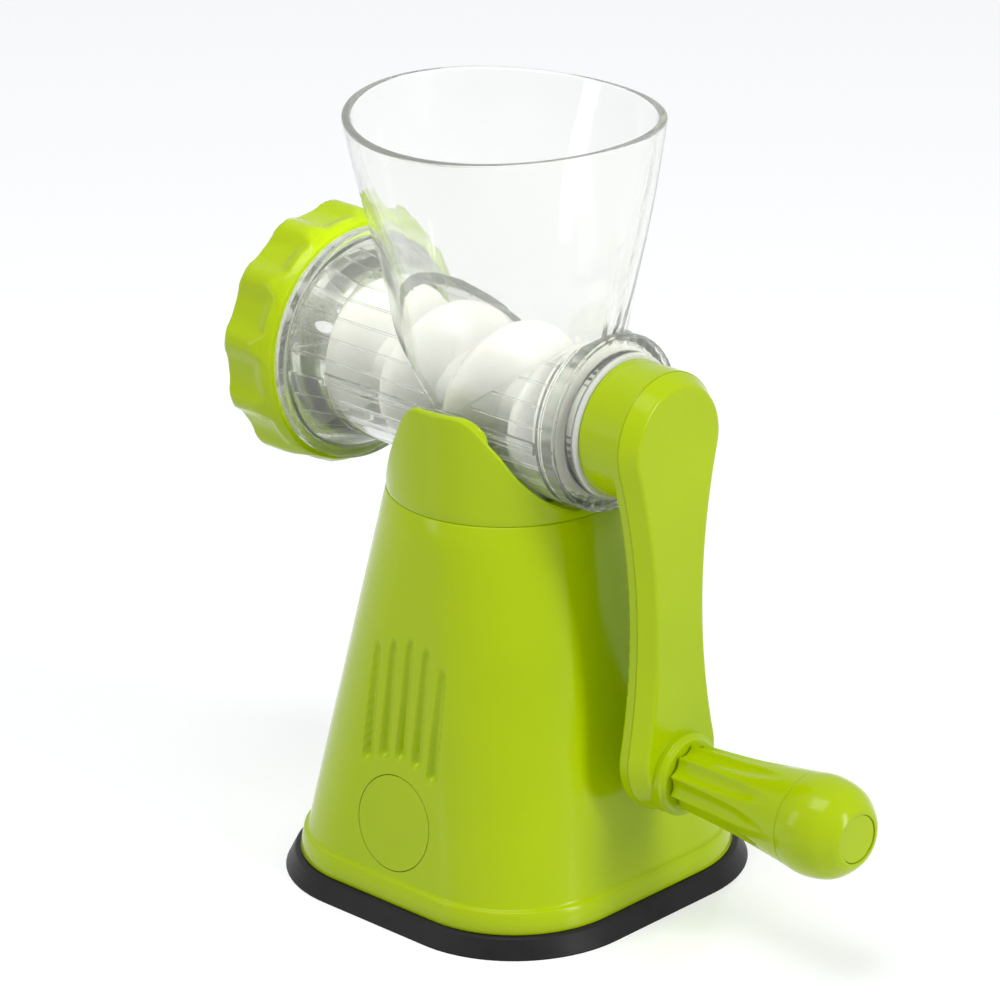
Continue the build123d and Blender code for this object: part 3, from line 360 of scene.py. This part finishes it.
def makeShell():
    shell = {
        # a ring is (half width, corner radius, height)
        "bandTop": 14.5, "seam": 140.3, "wallHalf": (62.0, 41.6), "wallCorner": (38.0, 41.3),
        "deck": 137.1, "deckHole": 12.0, "edge": 0.5, "softEdge": 0.15,
        "wallFoot": ((14.8, -0.15, 14.8), (14.5, -0.5, 14.55)),
        "band": ((62.9, 38.9, 14.5), (63.25, 39.25, 14.35), (63.5, 39.5, 13.95), (64.1, 40.1, 11.4),
                 (64.9, 40.9, 7.3), (64.75, 40.75, 6.92), (64.4, 40.4, 6.8)),
        "inside": ((60.6, 36.6, 6.8), (60.6, 36.6, 14.5), (59.0, 35.0, 14.5), (38.6, 38.3, 137.1)),
        "grooves": ((-15.2, 51.0, 94.3), (-7.6, 53.6, 96.9), (0.0, 55.0, 98.9),
                    (7.6, 54.4, 97.8), (15.2, 51.6, 92.6)),
        "grooveHalf": 2.8, "grooveDepth": 2.7, "grooveNarrows": 0.34, "grooveFades": 0.55,
        "grooveReach": 22, "grooveLong": 3.2, "grooveSoft": (0.30, 1.0),
        "coverRadius": 16.75, "coverDepth": 1.6, "leverZ": 33.6,
        "bossRadius": 16.0, "bossEnd": 63.1, "axleHole": 5.3,
    }
    frontFlat = [k / 60 for k in range(60)]
    sideFlat = [k / 8 for k in range(8)]
    nearFront = [k * 0.011 for k in range(20)] + [0.22 + 0.78 * k / 16 for k in range(16)]
    plainArc = [k / 22 for k in range(22)]
    awayFront = [1.0 - share for share in nearFront[:0:-1]]
    sides = [(frontFlat, nearFront), (sideFlat, plainArc), (sideFlat, plainArc),
             (sideFlat, [0.0] + awayFront)]
    shares = []
    for turn, (flat, arc) in enumerate(sides):
        shares += [(turn, "flat", share) for share in flat]
        shares += [(turn, "arc", share) for share in arc]

    top = shell["seam"]
    base = shell["bandTop"]
    edge = shell["edge"]

    def onWall(z, inwards=0.0):
        share = (z - base) / (top - base)
        low, high = shell["wallHalf"]
        lowCorner, highCorner = shell["wallCorner"]
        return (low + (high - low) * share - inwards,
                lowCorner + (highCorner - lowCorner) * share - inwards, z)

    heights = [139.8, 130.0, 120.0, 110.0, 103.0] + [101.0 - 0.72 * k for k in range(74)]
    heights += [46.5, 44.0, 38.0, 30.0, 22.0, 17.0, 15.3]
    half, corner, z = onWall(top, edge)
    rings = [(shell["deckHole"], shell["deckHole"] - 0.01, shell["deck"]),
             (shell["deckHole"], shell["deckHole"] - 0.01, top), (half, corner, top),
             onWall(top - shell["softEdge"], shell["softEdge"])]
    wallStart = len(rings)
    rings += [onWall(z) for z in heights]
    rings += [(*onWall(at, inwards)[:2], z) for at, inwards, z in shell["wallFoot"]]
    rings += [*shell["band"], *shell["inside"]]
    rings.append(rings[0])

    def dent(x, z):
        deepest = 0.0
        for grooveX, low, high in shell["grooves"]:
            share = min(max((z - low) / (high - low), 0.0), 1.0)
            wide = shell["grooveHalf"] * (1 - shell["grooveNarrows"] * share)
            deep = shell["grooveDepth"] * (1 - shell["grooveFades"] * share)
            under = max(low + wide - z, 0.0)
            over = max(z - (high - shell["grooveLong"] * wide), 0.0) / shell["grooveLong"]
            apart = sqrt((x - grooveX) ** 2 + under ** 2 + over ** 2) / wide
            deepest = max(deepest, deep * (1 - softStep(*shell["grooveSoft"], apart)))
        return deepest

    def place(i, j):
        half, corner, z = rings[j]
        turn, kind, share = shares[i]
        flat = half - corner
        if kind == "flat":
            x, y = -flat + 2 * flat * share, -half
        else:
            angle = -pi / 2 + pi / 2 * share
            x, y = flat + corner * cos(angle), -flat + corner * sin(angle)
        for _ in range(turn):
            x, y = -y, x
        if wallStart <= j < wallStart + len(heights) and y < 0 and abs(x) < shell["grooveReach"]:
            y += dent(x, z)
        return x, y, z

    piece = wrapGrid("pedestalShell", len(shares), len(rings) - 1, place)
    slope = (shell["wallHalf"][0] - shell["wallHalf"][1]) / (top - base)
    wallY = onWall(shell["leverZ"])[0]
    outwards = Vector((0, -1, slope)).normalized()
    middle = Vector((0, -wallY, shell["leverZ"]))
    recess = addCylinder("coverRecess", shell["coverRadius"], middle - outwards * shell["coverDepth"],
                         middle + outwards * 4, 160)
    joinSolids(piece, recess, "DIFFERENCE")
    boss = addCylinder("leverBoss", shell["bossRadius"], (0, wallY - 2.0, shell["leverZ"]),
                       (0, shell["bossEnd"], shell["leverZ"]), 128)
    joinSolids(piece, boss, "UNION")
    hole = addCylinder("axleHole", shell["axleHole"], (0, 45, shell["leverZ"]),
                       (0, 70, shell["leverZ"]), 64)
    joinSolids(piece, hole, "DIFFERENCE")
    finishPiece(piece, "lime_plastic", "stand", ["pedestal_shell"])


def makeCollar():
    collar = {
        "low": 140.3, "floor": 142.9, "radius": 41.6, "wall": 3.2, "hole": 29.3,
        "lobeTop": 177.6, "lobeSpan": (-6.5, 18.0), "footSpan": (-28.5, 42.6),
        "lobeRound": 3.4, "footRound": 3.0,
        "barrelZ": 173.8, "barrelCut": 31.9, "cradleSpread": 4.0, "cradleRound": 5.0,
        "lip": 1.05, "edge": 0.45, "around": 320,
    }
    front, back = collar["lobeSpan"]
    footFront, footBack = collar["footSpan"]
    rise = collar["lobeTop"] - collar["floor"]

    def topAt(x, y):
        frontLine = collar["floor"] + (x - footFront) * rise / (front - footFront)
        backLine = collar["floor"] + (footBack - x) * rise / (footBack - back)
        z = softMin(softMin(frontLine, collar["lobeTop"], collar["lobeRound"] * 2),
                    backLine, collar["lobeRound"] * 2)
        z = softMax(z, collar["floor"], collar["footRound"])
        over = abs(y) - collar["barrelCut"]
        if over < 0:
            cradle = collar["barrelZ"] - sqrt(collar["barrelCut"] ** 2 - y * y)
        else:
            cradle = collar["barrelZ"] + over * collar["cradleSpread"]
        return max(softMin(z, cradle, collar["cradleRound"]), collar["floor"])

    outer = collar["radius"]
    inner = outer - collar["wall"]
    lip = collar["lip"]
    arc = [k / 5 * pi / 2 for k in range(6)]
    around = collar["around"]

    def columnAt(i):
        c, s = cos(tau * i / around), sin(tau * i / around)
        highOut = topAt(outer * c, outer * s)
        highIn = max(topAt(inner * c, inner * s), collar["floor"])
        lipOut = min(lip, max((highOut - collar["low"]) * 0.3, 0.05))
        lipIn = min(lip, max((highIn - collar["floor"]) * 0.5, 0.02))
        edge = collar["edge"]
        start = collar["low"] + edge
        end = highOut - lipOut
        column = [(collar["hole"], collar["low"]), (outer - edge, collar["low"]),
                  (outer - edge * 0.3, collar["low"] + edge * 0.3), (outer, start)]
        column += [(outer, start + (end - start) * k / 10) for k in range(1, 11)]
        column += [(outer - lipOut * (1 - cos(a)), end + lipOut * sin(a)) for a in arc[1:]]
        column += [(inner + lipIn * (1 - sin(a)), highIn - lipIn * (1 - cos(a))) for a in arc]
        column += [(inner, collar["floor"] + (highIn - lipIn - collar["floor"]) * k / 6)
                   for k in range(5, -1, -1)]
        column += [(collar["hole"], collar["floor"]), (collar["hole"], collar["low"])]
        return [(r * c, r * s, z) for r, z in column]

    columns = [columnAt(i) for i in range(around)]
    piece = wrapGrid("saddleCollar", around, len(columns[0]) - 1, lambda i, j: columns[i][j])
    finishPiece(piece, "lime_plastic", "stand", ["saddle_collar"], 50.0)


def makeNut():
    nut = {
        "near": -70.7, "crest": 45.4, "valley": 41.9, "opening": 29.5, "thread": 37.5,
        "shoulder": -89.0, "face": -92.0, "faceEdge": 1.2, "lobes": 12, "phase": -10.0,
        "sharpness": 1.7, "axisZ": 173.8, "around": 360, "scoopRound": 0.6, "endRound": 0.7,
    }
    near = nut["near"]
    face = nut["face"]
    outerX = ([face, face, -91.9, -91.6, -91.1, -90.3, -89.4] + [-88.4 + k for k in range(8)]
              + [-80.4 + 0.6 * k for k in range(15)] + [-71.6, -71.2, -70.9, near])
    envelope = [(face, nut["crest"] - 3.0), (-91.6, nut["crest"] - 1.5), (-91.1, nut["crest"] - 0.8),
                (-90.3, nut["crest"] - 0.25), (-89.0, nut["crest"]), (-80.0, nut["crest"]),
                (-77.0, nut["crest"] - 0.55), (-74.0, 43.75), (-72.2, 42.9), (-71.4, 42.45), (near, 41.8)]
    smoothEnd = [(face, 38.0), (-79.6, 41.4), (-76.5, 43.0), (-74.0, 43.45), (-72.2, 42.75),
                 (-71.4, 42.35), (near, 41.7)]
    thread, opening = nut["thread"], nut["opening"]
    chamfer = 0.4
    inside = [(near, 41.1), (near, thread + chamfer), (near - chamfer, thread),
              (nut["shoulder"], thread), (nut["shoulder"], opening), (face + chamfer, opening),
              (face, opening + chamfer), (face, 38.0)]
    around = nut["around"]

    def place(i, j):
        angle = tau * i / around
        if j < len(outerX):
            x = outerX[j]
            offset = (angle - radians(nut["phase"])) / (tau / nut["lobes"])
            away = abs(offset - round(offset)) * 2
            ridge = (0.5 * (1 + cos(pi * away))) ** nut["sharpness"]
            lobes = nut["valley"] + (nut["crest"] - nut["valley"]) * ridge
            if j == 0:
                r = alongCurve(envelope, x) - nut["faceEdge"]
            else:
                r = softMin(lobes, alongCurve(envelope, x), nut["scoopRound"])
                r = softMax(r, alongCurve(smoothEnd, x), nut["endRound"])
        elif j < len(outerX) + len(inside):
            x, r = inside[j - len(outerX)]
        else:
            return place(i, 0)
        return x, r * cos(angle), nut["axisZ"] + r * sin(angle)

    piece = wrapGrid("outletNut", around, len(outerX) + len(inside), place)
    finishPiece(piece, "lime_plastic", "outlet_nut", ["ring_nut"], 32.0)


def makeSleeve():
    sleeve = {
        "start": 82.6, "seam": 133.5, "axisZ": 56.4, "bore": 4.05, "socket": 13.0,
        "socketStart": 127.5, "endEdge": 0.3, "ridgeRound": 0.5,
        "swell": ((82.6, 11.3), (94.8, 12.0), (108.2, 13.1), (121.7, 14.9), (133.5, 16.5)),
        "flutes": 10, "cutter": 5.0, "deepStart": 1.75, "deepEnd": 0.75, "fadeStart": 113.0,
        "fadeEnd": 127.0, "edge": 0.5, "around": 400, "along": 70,
    }
    knots = sleeve["swell"]

    def radiusAt(x):
        for k in range(len(knots) - 1):
            if x <= knots[k + 1][0] or k == len(knots) - 2:
                break
        before = knots[max(k - 1, 0)]
        after = knots[min(k + 2, len(knots) - 1)]
        (x0, r0), (x1, r1) = knots[k], knots[k + 1]
        slope0 = (r1 - before[1]) / (x1 - before[0])
        slope1 = (after[1] - r0) / (after[0] - x0)
        t = (x - x0) / (x1 - x0)
        span = x1 - x0
        return ((2 * t ** 3 - 3 * t ** 2 + 1) * r0 + (t ** 3 - 2 * t ** 2 + t) * span * slope0
                + (3 * t ** 2 - 2 * t ** 3) * r1 + (t ** 3 - t ** 2) * span * slope1)

    def fluted(x, angle):
        r = radiusAt(x)
        share = (x - sleeve["start"]) / (sleeve["seam"] - sleeve["start"])
        deep = sleeve["deepStart"] + (sleeve["deepEnd"] - sleeve["deepStart"]) * share
        deep *= 1 - softStep(sleeve["fadeStart"], sleeve["fadeEnd"], x)
        if deep <= 0.001:
            return r
        pitch = tau / sleeve["flutes"]
        away = (angle / pitch + 0.5 - int(angle / pitch + 0.5) - 0.5) * pitch
        centre = r + sleeve["cutter"] - deep
        reach = sleeve["cutter"] ** 2 - (centre * sin(away)) ** 2
        cut = centre * cos(away) - sqrt(reach) if reach > 0 else r + 1
        return softMin(r, cut, sleeve["ridgeRound"])

    edge = sleeve["edge"]
    start, seam, endEdge = sleeve["start"], sleeve["seam"], sleeve["endEdge"]
    along = sleeve["along"]
    xs = [start + edge * 0.3] + [start + edge + (seam - endEdge - start - edge) * k / along
                                 for k in range(along + 1)]
    around = sleeve["around"]

    def place(i, j):
        angle = tau * i / around
        inside = [(seam, fluted(seam, angle) - endEdge), (seam, sleeve["socket"]),
                  (sleeve["socketStart"], sleeve["socket"]), (sleeve["socketStart"], sleeve["bore"]),
                  (start, sleeve["bore"]), (start, fluted(start, angle) - edge)]
        if j < len(xs):
            x = xs[j]
            r = fluted(x, angle) - (edge * 0.3 if j == 0 else 0.0)
        elif j < len(xs) + len(inside):
            x, r = inside[j - len(xs)]
        else:
            return place(i, 0)
        return x, r * cos(angle), sleeve["axisZ"] + r * sin(angle)

    piece = wrapGrid("gripSleeve", around, len(xs) + 6, place)
    finishPiece(piece, "lime_plastic", "grip", ["grip_sleeve"], 40.0)


def makeFloor():
    settings = {"size": 9.0, "colour": (0.80, 0.808, 0.825), "roughness": 0.2, "glow": 0.36}
    bpy.ops.mesh.primitive_plane_add(size=settings["size"], location=(0, 0, 0))
    floor = bpy.context.object
    floor.name = "floor"
    shader = Shader("floorGloss")
    cloud = shader.noise(0.8, 2.0)
    shader.link(shader.ramp(cloud, settings["colour"], tuple(c + 0.01 for c in settings["colour"])),
                shader.main.inputs["Base Color"])
    shader.setup(Roughness=settings["roughness"], IOR=1.45)
    glow = shader.node("ShaderNodeEmission")
    glow.inputs["Strength"].default_value = settings["glow"]
    paths = shader.node("ShaderNodeLightPath")
    seen = shader.node("ShaderNodeMath", operation="ADD", use_clamp=True)
    throughClear = shader.node("ShaderNodeMath", operation="ADD", use_clamp=True)
    shader.link(paths.outputs["Is Camera Ray"], seen.inputs[0])
    shader.link(paths.outputs["Is Glossy Ray"], seen.inputs[1])
    shader.link(seen.outputs["Value"], throughClear.inputs[0])
    shader.link(paths.outputs["Is Transmission Ray"], throughClear.inputs[1])
    dark = shader.node("ShaderNodeEmission")
    dark.inputs["Strength"].default_value = 0.0
    choose = shader.node("ShaderNodeMixShader")
    shader.link(throughClear.outputs["Value"], choose.inputs["Fac"])
    shader.link(dark.outputs["Emission"], choose.inputs[1])
    shader.link(glow.outputs["Emission"], choose.inputs[2])
    both = shader.node("ShaderNodeAddShader")
    shader.link(shader.main.outputs["BSDF"], both.inputs[0])
    shader.link(choose.outputs["Shader"], both.inputs[1])
    shader.link(both.outputs["Shader"], shader.output.inputs["Surface"])
    floor.data.materials.append(shader.material)


def makeWorld():
    world = bpy.data.worlds.new("studioAir")
    bpy.context.scene.world = world
    world.use_nodes = True
    tree = world.node_tree
    air = tree.nodes["Background"]
    air.inputs["Color"].default_value = (0.95, 0.97, 1.0, 1.0)
    air.inputs["Strength"].default_value = 0.42
    white = tree.nodes.new("ShaderNodeBackground")
    white.inputs["Strength"].default_value = 1.0
    paths = tree.nodes.new("ShaderNodeLightPath")
    mix = tree.nodes.new("ShaderNodeMixShader")
    seen = tree.nodes.new("ShaderNodeMath")
    seen.use_clamp = True
    seenThrough = tree.nodes.new("ShaderNodeMath")
    seenThrough.use_clamp = True
    tree.links.new(paths.outputs["Is Camera Ray"], seen.inputs[0])
    tree.links.new(paths.outputs["Is Glossy Ray"], seen.inputs[1])
    tree.links.new(seen.outputs["Value"], seenThrough.inputs[0])
    tree.links.new(paths.outputs["Is Transmission Ray"], seenThrough.inputs[1])
    tree.links.new(seenThrough.outputs["Value"], mix.inputs["Fac"])
    tree.links.new(air.outputs["Background"], mix.inputs[1])
    tree.links.new(white.outputs["Background"], mix.inputs[2])
    tree.links.new(mix.outputs["Shader"], tree.nodes["World Output"].inputs["Surface"])


# soft boxes: a broad one above, a slim one at each side
def makeLights():
    boxes = {
        "boxAbove": {"place": (0.1, -0.5, 1.7), "aim": (0, 0, 0.12), "size": (1.0, 0.8), "power": 11.5},
        "boxLeft": {"place": (-0.9, -1.5, 0.75), "aim": (0, 0, 0.12), "size": (0.4, 1.0), "power": 3.4},
        "boxRight": {"place": (1.6, 0.2, 0.8), "aim": (0, 0, 0.14), "size": (0.35, 1.1), "power": 13.0},
    }
    for name, box in boxes.items():
        aim = Vector(box["aim"]) - Vector(box["place"])
        bpy.ops.object.light_add(type="AREA", location=box["place"],
                                 rotation=aim.to_track_quat("-Z", "Y").to_euler())
        light = bpy.context.object
        light.name = name
        light.data.shape = "RECTANGLE"
        light.data.size, light.data.size_y = box["size"]
        light.data.energy = box["power"]


addCamera()
makeFloor()
makeWorld()
makeLights()
dressNodes()
makeShell()
makeCollar()
makeNut()
makeSleeve()
print("camera, stage and finishes made")
